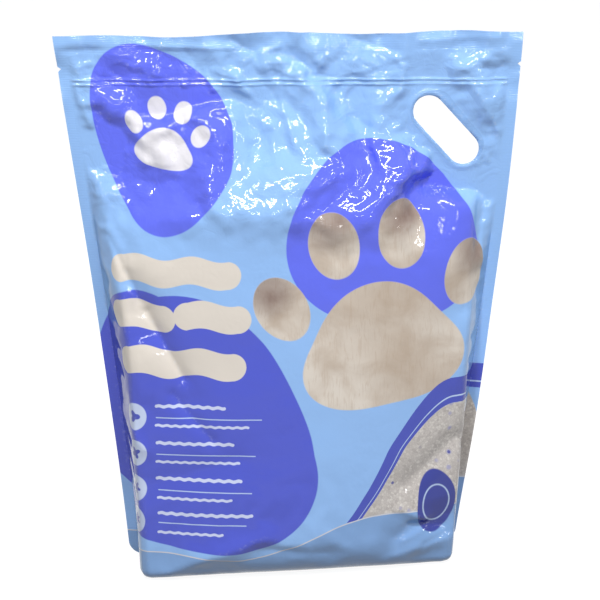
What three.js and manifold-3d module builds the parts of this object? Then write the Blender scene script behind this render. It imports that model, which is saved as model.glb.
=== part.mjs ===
// A filled stand-up pouch of glossy laminated film, sealed all round, with a press zip and a hand slot.
// Units are millimetres. +Z is up, +X is to the right of someone who faces the front, and the front faces -Y.
// The pouch is one sealed piece: two film panels, their seals and the granules inside make one solid.
import * as THREE from "three";
import Module from "manifold-3d";
import { mergeVertices } from "three/addons/utils/BufferGeometryUtils.js";

// Film and seals
const height = 495;
const topWidth = 420;
const baseWidth = 316;
const sealThickness = 1.5;
const sideSealWidth = 10;
const topSealHeight = 16;

// Belly, which the granules fill up to the fill height
const fillHeight = 350;
const baseFaceWidth = 292;
const fillFaceWidth = 322;
const baseCornerDepth = 60;
const fillCornerDepth = 27;
const crownDepth = 25;
const crownRise = 38;
const upperCrownDepth = 14;
const wallBulge = 4;
const baseEdgeRadius = 11;
const edgeBow = 0.05;
const bellyTurn = 2.4;
const bellyLean = 4;

// Header above the fill: a flattening pocket with the press zip across it
const headerDepth = 40;
const zipDrop = 43;
const zipSpacing = 4.2;
const zipRise = 0.9;
const zipPocketDepth = 2.2;
const edgeWave = 1.6;
const sideWave = 2.5;

// Hand slot, a long round-ended hole in a sealed ring, and the tear notches
const slotLength = 76;
const slotWidth = 29;
const slotTilt = 48;
const slotInset = 71;
const slotDrop = 89;
const slotRing = 5.4;
const slotRingRise = 0.9;
const slotCalm = 34;
const notchDrop = 29;
const notchDepth = 3.2;
const notchWidth = 4;

// Mesh steps
const faceSteps = 30;
const wallSteps = 7;
const bellyStep = 12.5;
const headerStep = 7.5;

const creaseShare = 0.76;
const foldSharpness = 1.4;
const cornerSpan = 0.035;
const halfSeal = sealThickness / 2;
const zipHeight = height - zipDrop;
const sealFoot = height - topSealHeight;
const slotCentre = new THREE.Vector2(topWidth / 2 - slotInset, height - slotDrop);

const mix = THREE.MathUtils.lerp;
const ease = THREE.MathUtils.smoothstep;
const radians = THREE.MathUtils.degToRad;

// Folds that handling and filling left in the front panel. A fold runs from one place (x, height) to
// another, and stands out by its rise, or is pressed in where the rise is negative.
const frontFolds = [
  { from: [-129, 430], to: [-48, 458], reach: 13, rise: -12 },
  { from: [-132, 412], to: [-66, 430], reach: 14, rise: 6 },
  { from: [-147, 472], to: [-60, 466], reach: 9, rise: -5 },
  { from: [-195, 452], to: [-158, 424], reach: 12, rise: 4 },
  { from: [-178, 408], to: [-150, 352], reach: 13, rise: -6 },
  { from: [-118, 392], to: [-58, 404], reach: 20, rise: 5 },
  { from: [-40, 452], to: [-30, 392], reach: 12, rise: -6 },
  { from: [16, 448], to: [40, 376], reach: 13, rise: 8 },
  { from: [52, 444], to: [66, 392], reach: 12, rise: -6 },
  { from: [80, 396], to: [104, 366], reach: 14, rise: 6 },
  { from: [112, 353], to: [186, 357], reach: 13, rise: -15 },
  { from: [179, 376], to: [190, 356], reach: 10, rise: -6 },
  { from: [172, 336], to: [153, 246], reach: 14, rise: -7 },
  { from: [-166, 338], to: [-138, 232], reach: 13, rise: -7 },
  { from: [-135, 253], to: [-100, 176], reach: 12, rise: -4 },
  { from: [-60, 340], to: [40, 330], reach: 26, rise: 4 },
  { from: [-126, 10], to: [-34, 46], reach: 10, rise: 4 },
  { from: [-40, 34], to: [30, 26], reach: 10, rise: -3 },
  { from: [91, 34], to: [136, 50], reach: 10, rise: -5 },
  { from: [96, 20], to: [136, 30], reach: 8, rise: 4 },
  { from: [98, 84], to: [146, 122], reach: 11, rise: -6 },
  { from: [-132, 96], to: [-60, 118], reach: 16, rise: -3 },
  { from: [-152, 400], to: [-132, 366], reach: 18, rise: -5 },
  { from: [-72, 408], to: [-78, 366], reach: 13, rise: 5 },
  { from: [-112, 336], to: [-10, 350], reach: 17, rise: 3 },
  { from: [20, 428], to: [4, 368], reach: 15, rise: 5 },
  { from: [58, 336], to: [98, 372], reach: 14, rise: 5 },
  { from: [-22, 392], to: [-8, 346], reach: 8, rise: 4 },
  { from: [-45, 478], to: [-22, 462], reach: 7, rise: -4 },
  { from: [-18, 476], to: [0, 458], reach: 7, rise: 4 },
  { from: [6, 477], to: [24, 456], reach: 7, rise: -4 },
  { from: [54, 472], to: [74, 466], reach: 8, rise: -3 },
  { from: [98, 472], to: [150, 470], reach: 7, rise: -3 },
  { from: [156, 462], to: [184, 432], reach: 10, rise: 4 },
];

// The back panel has fewer folds, because it is seldom the side that is handled
const backFolds = [
  { from: [-162, 392], to: [-88, 414], reach: 16, rise: -7 },
  { from: [-104, 400], to: [-106, 362], reach: 14, rise: -5 },
  { from: [-62, 442], to: [-54, 408], reach: 14, rise: -6 },
  { from: [-2, 442], to: [2, 408], reach: 13, rise: -6 },
  { from: [10, 388], to: [42, 344], reach: 15, rise: 6 },
  { from: [42, 424], to: [100, 370], reach: 12, rise: 5 },
  { from: [-60, 384], to: [-78, 344], reach: 13, rise: 5 },
  { from: [-28, 384], to: [-30, 354], reach: 11, rise: -4 },
  { from: [-150, 368], to: [-130, 326], reach: 13, rise: 4 },
  { from: [88, 436], to: [138, 352], reach: 12, rise: -5 },
  { from: [138, 352], to: [188, 352], reach: 12, rise: -5 },
  { from: [-40, 472], to: [-28, 444], reach: 10, rise: 3 },
  { from: [162, 470], to: [188, 432], reach: 11, rise: 4 },
  { from: [-160, 320], to: [-138, 222], reach: 13, rise: -6 },
  { from: [164, 330], to: [146, 236], reach: 13, rise: -6 },
  { from: [-60, 18], to: [40, 58], reach: 14, rise: 4 },
  { from: [96, 26], to: [138, 48], reach: 12, rise: -5 },
  { from: [-136, 44], to: [-96, 22], reach: 11, rise: -5 },
];

// How far a place is from a straight line between two others
function distanceToLine(x, z, from, to) {
  const alongX = to[0] - from[0];
  const alongZ = to[1] - from[1];
  const share = ((x - from[0]) * alongX + (z - from[1]) * alongZ) / (alongX ** 2 + alongZ ** 2);
  const held = THREE.MathUtils.clamp(share, 0, 1);
  return Math.hypot(x - from[0] - held * alongX, z - from[1] - held * alongZ);
}

// Height of all the folds of a panel at one place, with a ridge across each that is a little sharp
function foldRise(folds, x, z) {
  let total = 0;
  for (const fold of folds) {
    const across = distanceToLine(x, z, fold.from, fold.to) / fold.reach;
    total += fold.rise * Math.exp(-(across ** foldSharpness));
  }
  return total;
}

// Outer edge of the side seals, bowed a little between the base and the top
function edgeHalfWidth(z) {
  const share = z / height;
  return mix(baseWidth, topWidth, share + edgeBow * share * Math.sin(Math.PI * share)) / 2;
}

// The hand slot's middle line, as its two end centres
function slotEnds() {
  const reach = (slotLength - slotWidth) / 2;
  const along = new THREE.Vector2(Math.cos(radians(slotTilt)), -Math.sin(radians(slotTilt)));
  return [slotCentre.clone().addScaledVector(along, -reach), slotCentre.clone().addScaledVector(along, reach)];
}

const [slotUpper, slotLower] = slotEnds();

// 0 in the slot's sealed ring, where both panels lie together, and 1 well away from it
function slotFreedom(x, z) {
  const away = distanceToLine(x, z, slotUpper.toArray(), slotLower.toArray());
  const ringEdge = slotWidth / 2 + slotRing;
  return ease(away, ringEdge, ringEdge + slotCalm);
}

// Share of the crown at a height: the belly swells out over the base edge
function overhang(z) {
  return Math.sin((Math.PI / 2) * THREE.MathUtils.clamp(z / crownRise, 0, 1));
}

// Distance from the middle plane to a panel: a box with creased corners in the belly, a lens in the header
function panelDepth(share, x, z, half) {
  const low = THREE.MathUtils.clamp(z / fillHeight, 0, 1);
  const corner = mix(baseCornerDepth, fillCornerDepth, low);
  const toward = Math.abs(share) / creaseShare;
  const wall = (Math.abs(share) - creaseShare) / (1 - creaseShare);
  const crown = mix(crownDepth, upperCrownDepth, low) * overhang(z);
  const boxed = toward < 1
    ? corner + crown * (1 - toward ** 2)
    : corner * (1 - wall) + wallBulge * Math.sin(Math.PI * wall);
  const closing = 1 - ease(z, fillHeight - 40, zipHeight);
  const lens = headerDepth * closing * (1 - (x / half) ** 2) + zipPocketDepth * (1 - (x / half) ** 6);
  return mix(boxed, lens, ease(z, fillHeight - 70, fillHeight + 45));
}

// Two fine ridges of the press zip, which end at the side seals
function zipRelief(z) {
  const upper = Math.max(0, 1 - Math.abs(z - zipHeight - zipSpacing / 2) / (zipSpacing * 0.4));
  const lower = Math.max(0, 1 - Math.abs(z - zipHeight + zipSpacing / 2) / (zipSpacing * 0.4));
  return zipRise * Math.max(upper, lower);
}

// A place on a panel before its corners are rounded. The share runs from -1 to 1 between the side seals.
function creasedPoint(share, z, side) {
  const half = edgeHalfWidth(z) - sideSealWidth;
  const face = mix(baseFaceWidth, fillFaceWidth, z / fillHeight) / 2;
  const faceHalf = Math.min(face, half - 2);
  const toward = Math.abs(share) / creaseShare;
  const wall = (Math.abs(share) - creaseShare) / (1 - creaseShare);
  const x = Math.sign(share) * (toward < 1 ? faceHalf * toward : mix(faceHalf, half, wall));
  const calm = slotFreedom(x, z);
  const edgeFade = 1 - Math.abs(share) ** 8;
  const sealFade = 1 - ease(z, sealFoot - 12, sealFoot);
  const folds = side < 0 ? frontFolds : backFolds;
  const relief = foldRise(folds, x, z) * edgeFade;
  const depth = (panelDepth(share, x, z, half) + relief) * calm * sealFade;
  return new THREE.Vector3(x, side * (halfSeal + Math.max(0, depth) + zipRelief(z) * edgeFade * calm), z);
}

// The same place with the corner creases rounded over a short span
function panelPoint(share, z, side) {
  const span = Math.min(cornerSpan, 1 - Math.abs(share));
  const before = creasedPoint(share - span, z, side);
  const after = creasedPoint(share + span, z, side);
  const middle = creasedPoint(share, z, side);
  return before.add(after).add(middle).add(middle).multiplyScalar(0.25);
}

// What bends both panels and the seals alike: a rounded base edge, a turned belly, a lean and wavy edges
function settle(point) {
  const share = point.z / height;
  const belly = 1 - ease(point.z, fillHeight * 0.6, zipHeight);
  const out = Math.max(0, 1 - point.z / baseEdgeRadius);
  const inset = baseEdgeRadius * (1 - Math.sqrt(1 - out ** 2));
  const x = point.x * (1 - (2 * inset) / baseWidth);
  const y = point.y * (1 - inset / baseCornerDepth);
  const seam = ease(Math.abs(x), edgeHalfWidth(point.z) * 0.86, edgeHalfWidth(point.z));
  const turn = x * Math.tan(radians(bellyTurn)) * belly * (1 - seam);
  const ripple = sideWave * Math.sin(share * 13 + (x > 0 ? 1.1 : 0)) * seam * (1 - share) * 1.6;
  const sway = edgeWave * Math.sin(x / 31) * share ** 6;
  const crest = edgeWave * (Math.sin(x / 27 + 2.2) - (x / topWidth) ** 2 * 3) * share ** 12;
  return new THREE.Vector3(x + bellyLean * Math.sin(Math.PI * share), y + turn + ripple + sway, point.z + crest);
}

// Shares across a panel, with the same steps on the face and more of them in the walls
function panelShares() {
  const shares = [];
  for (let step = 0; step <= wallSteps; step += 1) {
    shares.push(mix(-1, -creaseShare, step / wallSteps));
  }
  for (let step = 1; step < faceSteps; step += 1) {
    shares.push(mix(-creaseShare, creaseShare, step / faceSteps));
  }
  for (let step = 0; step <= wallSteps; step += 1) {
    shares.push(mix(creaseShare, 1, step / wallSteps));
  }
  return shares;
}

// Heights of the rings that the skin is lofted through
function ringHeights() {
  const heights = [0, 0.22, 0.6, 1].map((share) => share * baseEdgeRadius);
  const bellySteps = Math.round((fillHeight - baseEdgeRadius) / bellyStep);
  for (let step = 1; step <= bellySteps; step += 1) {
    heights.push(mix(baseEdgeRadius, fillHeight, step / bellySteps));
  }
  const zipFoot = zipHeight - zipSpacing * 1.1;
  const headerSteps = Math.round((zipFoot - fillHeight) / headerStep);
  for (let step = 1; step <= headerSteps; step += 1) {
    heights.push(mix(fillHeight, zipFoot, step / headerSteps));
  }
  for (const share of [-0.5, 0, 0.5, 1.1]) {
    heights.push(zipHeight + share * zipSpacing);
  }
  const zipTop = zipHeight + zipSpacing * 1.1;
  heights.push(mix(zipTop, sealFoot, 0.35), mix(zipTop, sealFoot, 0.7), sealFoot, height);
  return heights;
}

// One ring of the skin, from the left seal round the front to the right seal and back behind
function ring(z, shares) {
  const half = edgeHalfWidth(z);
  const points = [new THREE.Vector3(-half, -halfSeal, z)];
  points.push(...shares.map((share) => panelPoint(share, z, -1)));
  points.push(new THREE.Vector3(half, -halfSeal, z), new THREE.Vector3(half, halfSeal, z));
  points.push(...shares.map((share) => panelPoint(-share, z, 1)));
  points.push(new THREE.Vector3(-half, halfSeal, z));
  return points.map(settle);
}

// The closed skin of the pouch, from its flat base up to the top seal
function skinGeometry() {
  const shares = panelShares();
  const rings = ringHeights().map((z) => ring(z, shares));
  const count = rings[0].length;
  const positions = rings.flat().flatMap((point) => point.toArray());
  const faces = [];
  for (let level = 0; level < rings.length - 1; level += 1) {
    for (let column = 0; column < count; column += 1) {
      const a = level * count + column;
      const b = level * count + ((column + 1) % count);
      faces.push(a, b, b + count, a, b + count, a + count);
    }
  }
  const middle = positions.length / 3;
  positions.push(0, 0, 0);
  const top = (rings.length - 1) * count;
  for (let column = 0; column < count; column += 1) {
    faces.push(middle, (column + 1) % count, column);
  }
  for (let column = 0; column < count / 2 - 1; column += 1) {
    const front = top + column;
    const back = top + count - 1 - column;
    faces.push(front, front + 1, back - 1, front, back - 1, back);
  }
  const geometry = new THREE.BufferGeometry();
  geometry.setAttribute("position", new THREE.Float32BufferAttribute(positions, 3));
  geometry.setIndex(faces);
  return geometry;
}

// A round-ended bar along the slot's line, through the pouch from front to back
function slotBar(width, depth) {
  const reach = (slotLength - slotWidth) / 2;
  const outline = new THREE.Shape();
  outline.absarc(reach, 0, width / 2, -Math.PI / 2, Math.PI / 2, false);
  outline.absarc(-reach, 0, width / 2, Math.PI / 2, Math.PI * 1.5, false);
  const bar = new THREE.ExtrudeGeometry(outline, { depth, bevelEnabled: false, curveSegments: 14 });
  bar.translate(0, 0, -depth / 2);
  bar.rotateX(Math.PI / 2);
  bar.rotateY(radians(slotTilt));
  const away = settle(new THREE.Vector3(slotCentre.x, 0, slotCentre.y));
  bar.translate(away.x, away.y, away.z);
  return bar;
}

// A small wedge that nicks one side seal so that the pouch can be torn open
function notchWedge(side) {
  const z = height - notchDrop;
  const edge = settle(new THREE.Vector3(side * edgeHalfWidth(z), 0, z));
  const outline = new THREE.Shape();
  outline.moveTo(edge.x - side * notchDepth, z);
  outline.lineTo(edge.x + side, z + notchWidth * 0.66);
  outline.lineTo(edge.x + side, z - notchWidth * 0.66);
  outline.closePath();
  const depth = sealThickness * 8;
  const wedge = new THREE.ExtrudeGeometry(outline, { depth, bevelEnabled: false });
  wedge.translate(0, 0, -depth / 2);
  wedge.rotateX(Math.PI / 2);
  wedge.translate(0, edge.y, 0);
  return wedge;
}

const wasm = await Module();
wasm.setup();

// A closed three.js geometry as a solid that can be joined and cut
function solidOf(geometry) {
  geometry.deleteAttribute("normal");
  geometry.deleteAttribute("uv");
  const merged = mergeVertices(geometry, 1e-5);
  const vertProperties = new Float32Array(merged.attributes.position.array);
  const triVerts = new Uint32Array(merged.index.array);
  return new wasm.Manifold(new wasm.Mesh({ numProp: 3, vertProperties, triVerts }));
}

// A solid as a three.js geometry again
function geometryOf(solid) {
  const mesh = solid.getMesh();
  const geometry = new THREE.BufferGeometry();
  geometry.setAttribute("position", new THREE.BufferAttribute(new Float32Array(mesh.vertProperties), 3));
  geometry.setIndex(new THREE.BufferAttribute(new Uint32Array(mesh.triVerts), 1));
  return geometry;
}

// The pouch with the slot's raised sealed ring, the slot and the two tear notches
function pouchGeometry() {
  const ringBar = solidOf(slotBar(slotWidth + 2 * slotRing, sealThickness + 2 * slotRingRise));
  const slotCut = solidOf(slotBar(slotWidth, headerDepth * 2));
  let pouch = solidOf(skinGeometry()).add(ringBar).subtract(slotCut);
  for (const side of [-1, 1]) {
    pouch = pouch.subtract(solidOf(notchWedge(side)));
  }
  return geometryOf(pouch);
}

const film = new THREE.MeshStandardMaterial({ color: 0x9cc8f0, roughness: 0.28, metalness: 0 });
const pouch = new THREE.Mesh(pouchGeometry(), film);
pouch.name = "pouch";

// The origin is on the floor, under the middle of the pouch's box
pouch.geometry.computeBoundingBox();
const box = pouch.geometry.boundingBox;
pouch.position.set(-(box.min.x + box.max.x) / 2, -(box.min.y + box.max.y) / 2, -box.min.z);
pouch.geometry.computeVertexNormals();

const group = new THREE.Group();
group.add(pouch);

export default group;
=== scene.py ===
import math
import bpy
import numpy as np
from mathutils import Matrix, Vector


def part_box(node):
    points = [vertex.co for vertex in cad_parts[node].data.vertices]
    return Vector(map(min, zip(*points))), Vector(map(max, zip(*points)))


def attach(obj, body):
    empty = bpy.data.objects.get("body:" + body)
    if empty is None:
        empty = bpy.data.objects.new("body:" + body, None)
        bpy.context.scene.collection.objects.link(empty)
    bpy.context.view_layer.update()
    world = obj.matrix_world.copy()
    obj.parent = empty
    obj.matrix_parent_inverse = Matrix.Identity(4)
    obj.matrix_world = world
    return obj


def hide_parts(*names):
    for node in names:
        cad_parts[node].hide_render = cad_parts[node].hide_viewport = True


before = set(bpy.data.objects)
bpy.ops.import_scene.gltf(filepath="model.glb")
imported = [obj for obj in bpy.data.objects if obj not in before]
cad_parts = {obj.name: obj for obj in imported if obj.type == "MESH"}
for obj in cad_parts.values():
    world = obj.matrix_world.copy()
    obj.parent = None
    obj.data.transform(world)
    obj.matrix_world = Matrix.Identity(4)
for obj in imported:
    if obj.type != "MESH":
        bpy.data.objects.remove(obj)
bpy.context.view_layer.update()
MM = 0.001

# Front panel: one sheet of glossy laminated film, printed on its inner layer. It is heat-sealed to the
# back panel at the sides, the top and the hand slot, and the granules push its belly out. Sizes are in
# millimetres, the same as the source's.
pouch_low, pouch_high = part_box("pouch")
top_width = (pouch_high[0] - pouch_low[0]) / MM
height = 495.0
base_width = 316.0
side_seal = 10.0
top_seal = 16.0
fill_height = 350.0
base_face_width = 292.0
fill_face_width = 322.0
base_corner_depth = 60.0
fill_corner_depth = 27.0
crown_depth = 25.0
crown_rise = 38.0
upper_crown_depth = 14.0
wall_bulge = 4.0
base_edge_radius = 11.0
edge_bow = 0.05
belly_turn = math.radians(2.4)
belly_lean = 4.0
header_depth = 40.0
zip_drop = 43.0
zip_height = height - zip_drop
zip_pocket_depth = 2.2
seal_foot = height - top_seal
crease_share = 0.76
corner_span = 0.035
film_width = top_width - 2 * side_seal
half_seal = 0.3
fold_sharpness = 1.4
side_wave = 2.5
edge_wave = 1.6
seal_buckle = 2.4
seal_crumple = 1.1

# Hand slot, and the ring round it in which both panels are sealed together
slot_length = 76.0
slot_width = 29.0
slot_tilt = math.radians(48)
slot_inset = 71.0
slot_drop = 89.0
slot_centre = np.array([top_width / 2 - slot_inset, height - slot_drop])
slot_ring = 5.4
slot_ring_rise = 0.9
slot_calm = 34.0


def ease(low, high, value):
    share = np.clip((value - low) / (high - low), 0.0, 1.0)
    return share * share * (3 - 2 * share)


def mix(low, high, share):
    return low + (high - low) * share


def nearest_on_line(x, z, start, end):
    run_x, run_z = end[0] - start[0], end[1] - start[1]
    share = ((x - start[0]) * run_x + (z - start[1]) * run_z) / (run_x**2 + run_z**2)
    share = np.clip(share, 0.0, 1.0)
    return start[0] + share * run_x, start[1] + share * run_z


def away_from_line(x, z, start, end):
    near_x, near_z = nearest_on_line(x, z, start, end)
    return np.hypot(x - near_x, z - near_z)


def slot_ends():
    reach = (slot_length - slot_width) / 2
    along = np.array([math.cos(slot_tilt), -math.sin(slot_tilt)])
    return slot_centre - reach * along, slot_centre + reach * along


def slot_distance(x, z):
    return away_from_line(x, z, *slot_ends()) - slot_width / 2


def edge_half_width(z):
    share = z / height
    return mix(base_width, top_width, share + edge_bow * share * np.sin(np.pi * share)) / 2


# How far the belly leans to the right at a height
def lean_at(z):
    return belly_lean * np.sin(np.pi * z / height)


def fold_rise(folds, x, z):
    total = np.zeros_like(x)
    for start, end, reach, rise in folds:
        total += rise * np.exp(-((away_from_line(x, z, start, end) / reach) ** fold_sharpness))
    return total


# The film where it lies before its wrinkles: a box with creased corners in the belly, a lens above it.
# The share runs from -1 to 1 between the side seals, and the side is -1 in front and 1 behind.
def creased_place(share, z, side, folds):
    half = edge_half_width(z) - side_seal
    face = np.minimum(mix(base_face_width, fill_face_width, z / fill_height) / 2, half - 2)
    toward = np.abs(share) / crease_share
    wall = (np.abs(share) - crease_share) / (1 - crease_share)
    x = np.sign(share) * np.where(toward < 1, face * toward, mix(face, half, wall))
    low = np.clip(z / fill_height, 0, 1)
    corner = mix(base_corner_depth, fill_corner_depth, low)
    crown = mix(crown_depth, upper_crown_depth, low) * np.sin(np.pi / 2 * np.clip(z / crown_rise, 0, 1))
    boxed = np.where(
        toward < 1,
        corner + crown * (1 - toward**2),
        corner * (1 - wall) + wall_bulge * np.sin(np.pi * np.clip(wall, 0, 1)),
    )
    closing = 1 - ease(fill_height - 40, zip_height, z)
    lens = header_depth * closing * (1 - (x / half) ** 2) + zip_pocket_depth * (1 - (x / half) ** 6)
    depth = mix(boxed, lens, ease(fill_height - 70, fill_height + 45, z))
    depth = depth + fold_rise(folds, x, z) * (1 - np.abs(share) ** 8)
    calm = ease(slot_ring, slot_ring + slot_calm, slot_distance(x, z))
    seal_fade = 1 - ease(seal_foot - 12, seal_foot, z)
    depth = half_seal + np.maximum(depth, 0) * calm * seal_fade
    return np.stack([x, side * depth, z + 0 * x], -1)


def place_on_panel(share, z, side, folds):
    span = np.minimum(corner_span, 1 - np.abs(share))
    before = creased_place(share - span, z, side, folds)
    after = creased_place(share + span, z, side, folds)
    return (before + after + 2 * creased_place(share, z, side, folds)) / 4


# Flat facets with sharp ridges between them, as stiff film creases
def facets(across, up, seed, waves, length):
    random = np.random.default_rng(seed)
    total = np.zeros_like(across)
    for _ in range(waves):
        angle = random.uniform(0, np.pi)
        size = length * random.uniform(0.6, 1.6)
        run = (across * np.cos(angle) + up * np.sin(angle)) / size + random.uniform(0, 1)
        bent = (up * np.cos(angle) - across * np.sin(angle)) / size
        run = run + 0.25 * np.sin(bent * 2.3 + random.uniform(0, 6))
        total += (np.abs((run % 1) - 0.5) * 4 - 1) * size / length
    return total / np.sqrt(waves)


# Creases across the top seal, which bend both films together
seal_folds = [
    ((-134, 488), (-54, 483), 3.4, -2.4),
    ((-52, 489), (-32, 476), 4.5, 2.6),
    ((-34, 475), (-12, 482), 3.6, -2.2),
    ((-204, 482), (-150, 483), 3.0, 1.4),
    ((58, 490), (92, 479), 4.0, 1.8),
    ((118, 487), (186, 490), 4.5, -1.6),
]


# What bends both panels and the seals alike: rounded base edge, turned belly, lean and wavy edges
def settle(place):
    x, y, z = place[..., 0], place[..., 1], place[..., 2]
    share = z / height
    belly = 1 - ease(fill_height * 0.6, zip_height, z)
    out = np.clip(1 - z / base_edge_radius, 0, 1)
    inset = base_edge_radius * (1 - np.sqrt(1 - out**2))
    x = x * (1 - 2 * inset / base_width)
    y = y * (1 - inset / base_corner_depth)
    half = edge_half_width(z)
    seam = ease(half * 0.86, half, np.abs(x))
    turn = x * math.tan(belly_turn) * belly * (1 - seam)
    ripple = side_wave * np.sin(share * 13 + np.where(x > 0, 1.1, 0.0)) * seam * (1 - share) * 1.6
    loose = ease(zip_height - 36, zip_height + 16, z) * ease(0, 30, slot_distance(x, z))
    sway = edge_wave * np.sin(x / 31) * share**6 + seal_buckle * facets(x, z, 3, 6, 46) * loose
    crushed = np.exp(-(((x - 10) / 110) ** 2)) * ease(zip_height - 12, zip_height + 10, z)
    sway = sway + fold_rise(seal_folds, x, z) + seal_crumple * facets(x, z, 9, 6, 20) * crushed
    crest = edge_wave * (np.sin(x / 27 + 2.2) - (x / top_width) ** 2 * 3) * share**12
    return np.stack([x + belly_lean * np.sin(np.pi * share), y + turn + ripple + sway, z + crest], -1)


# Heights of the film's rows for steps along its middle line, and its columns at equal steps along each
# row. The fourth number of a place is where the plane between the two panels runs.
def film_run(side, folds):
    heights = np.linspace(0, height, 1500)
    middle = settle(place_on_panel(np.zeros_like(heights), heights, side, folds))
    steps = np.linalg.norm(np.diff(middle, axis=0), axis=1)
    return heights, np.concatenate([[0], np.cumsum(steps)])


def lay_out(levels, side, folds, columns):
    shares = np.linspace(-1, 1, 601)
    laid = np.empty((len(levels), columns, 4))
    wanted = np.linspace(0, 1, columns)
    for row, level in enumerate(levels):
        flat = place_on_panel(shares, np.full_like(shares, level), side, folds)
        line = settle(flat)
        between = settle(flat * (1, 0, 1))[:, 1:2]
        run = np.concatenate([[0], np.cumsum(np.linalg.norm(np.diff(line, axis=0), axis=1))])
        line = np.hstack([line, between])
        for axis in range(4):
            laid[row, :, axis] = np.interp(wanted * run[-1], run, line[:, axis])
    return laid


def header_share(z):
    return ease(fill_height - 50, fill_height + 20, z) * (1 - ease(seal_foot - 8, seal_foot, z))


# The film is a little larger than its shape, and hardly stretches, so Cloth buckles it into wrinkles:
# strongly above the fill, less at the base and the side walls, and little where the granules press it.
def wrinkled(laid, film_up, side, seed, frames):
    rows, columns = laid.shape[:2]
    share = np.linspace(-1, 1, columns)[None, :] * np.ones((rows, 1))
    z = laid[..., 2]
    slot = slot_distance(laid[..., 0], z)
    held = (slot < slot_ring) | (z > seal_foot) | (np.abs(share) > 0.999)
    held[0] = True
    head = header_share(z)
    calm = ease(0, 14, slot - slot_ring) * ease(0, 10, seal_foot - z) * ease(1.0, 0.93, np.abs(share))
    up = film_up[:, None] * np.ones((1, columns))
    calm = calm * ease(0, 12, up)
    across = share * film_width / 2
    start = laid[..., :3].copy()
    start[..., 1] += side * buckle_rise * facets(across, up, seed, 7, 60) * calm * (0.25 + 0.75 * head)
    index = np.arange(rows * columns).reshape(rows, columns)
    low_left, low_right = index[:-1, :-1].ravel(), index[:-1, 1:].ravel()
    high_right, high_left = index[1:, 1:].ravel(), index[1:, :-1].ravel()
    odd = (np.add.outer(np.arange(rows - 1), np.arange(columns - 1)) % 2).ravel() == 1
    first = np.where(odd, high_right, high_left)
    second = np.where(odd, low_left, low_right)
    halves = np.concatenate(
        [np.stack([low_left, low_right, first], -1), np.stack([second, high_right, high_left], -1)]
    )
    mesh = bpy.data.meshes.new("loose_film")
    mesh.from_pydata((start.reshape(-1, 3) * MM).tolist(), [], halves.tolist())
    sheet = bpy.data.objects.new("loose_film", mesh)
    bpy.context.scene.collection.objects.link(sheet)
    filled = 1 - ease(fill_height - 60, fill_height + 20, z)
    grip = np.where(held, 1.0, 0.35 * filled + 0.5 * (1 - ease(0, 9, slot - slot_ring)))
    foot = 1 - ease(20, 110, z)
    amount = np.clip(0.03 + 0.97 * head + 0.3 * foot + 0.3 * np.abs(share) ** 6, 0, 1)
    for label, weights in (("grip", grip), ("growth", 1 - amount)):
        group = sheet.vertex_groups.new(name=label)
        for number, weight in enumerate(weights.ravel()):
            group.add([number], float(weight), "REPLACE")
    cloth = sheet.modifiers.new("cloth", "CLOTH")
    settings = cloth.settings
    settings.quality = 6
    settings.mass = 0.05
    settings.air_damping = 2.0
    settings.tension_stiffness = 150
    settings.compression_stiffness = 150
    settings.shear_stiffness = 150
    settings.bending_stiffness = 20
    settings.bending_damping = 0.5
    settings.vertex_group_mass = "grip"
    settings.pin_stiffness = 1.0
    settings.vertex_group_shrink = "growth"
    settings.shrink_min = -film_growth
    settings.shrink_max = 0.0
    settings.effector_weights.gravity = 0
    cloth.collision_settings.use_collision = False
    cloth.point_cache.frame_end = frames
    for moment in range(1, frames + 1):
        bpy.context.scene.frame_set(moment)
    bpy.context.scene.frame_set(frames)
    graph = bpy.context.evaluated_depsgraph_get()
    done = sheet.evaluated_get(graph).data
    places = np.empty(len(done.vertices) * 3, np.float32)
    done.vertices.foreach_get("co", places)
    places = places.reshape(rows, columns, 3).astype(float) / MM
    bpy.data.objects.remove(sheet)
    bpy.data.meshes.remove(mesh)
    bpy.context.scene.frame_set(1)
    return places


def soften(grid, passes, strength):
    for _ in range(passes):
        around = (grid[:-2, 1:-1] + grid[2:, 1:-1] + grid[1:-1, :-2] + grid[1:-1, 2:]) / 4
        grid = grid.copy()
        grid[1:-1, 1:-1] = mix(grid[1:-1, 1:-1], around, strength)
    return grid


# A smooth curve through the coarse rows or columns, read at new places from 0 to 1
def read_between(grid, axis, new):
    old = np.linspace(0, 1, grid.shape[axis])
    at = np.clip(np.searchsorted(old, new, side="right") - 1, 0, len(old) - 2)
    share = ((new - old[at]) * (len(old) - 1)).reshape((-1,) + (1,) * (grid.ndim - 1))
    lines = np.moveaxis(grid, axis, 0)
    before, low = lines[np.maximum(at - 1, 0)], lines[at]
    high, after = lines[at + 1], lines[np.minimum(at + 2, len(old) - 1)]
    curve = 2 * low + (high - before) * share
    curve = curve + (2 * before - 5 * low + 4 * high - after) * share**2
    curve = curve + (3 * low - before - 3 * high + after) * share**3
    return np.moveaxis(curve / 2, 0, axis)


cloth_rows = 101
cloth_columns = 81
cloth_frames = 30
film_growth = 0.028
buckle_rise = 1.5
crumple_rise = 1.5
fine_crumple_rise = 0.42
fine_columns = 229
fine_step = 1.8
header_reach = 5.0
belly_reach = 3.5
zip_spacing = 4.2
zip_rise = 0.9
zip_rib_reach = 1.15
zip_slope = -0.012
notch_drop = 29.0
notch_depth = 3.2
notch_width = 4.0
fin_columns = 5


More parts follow.
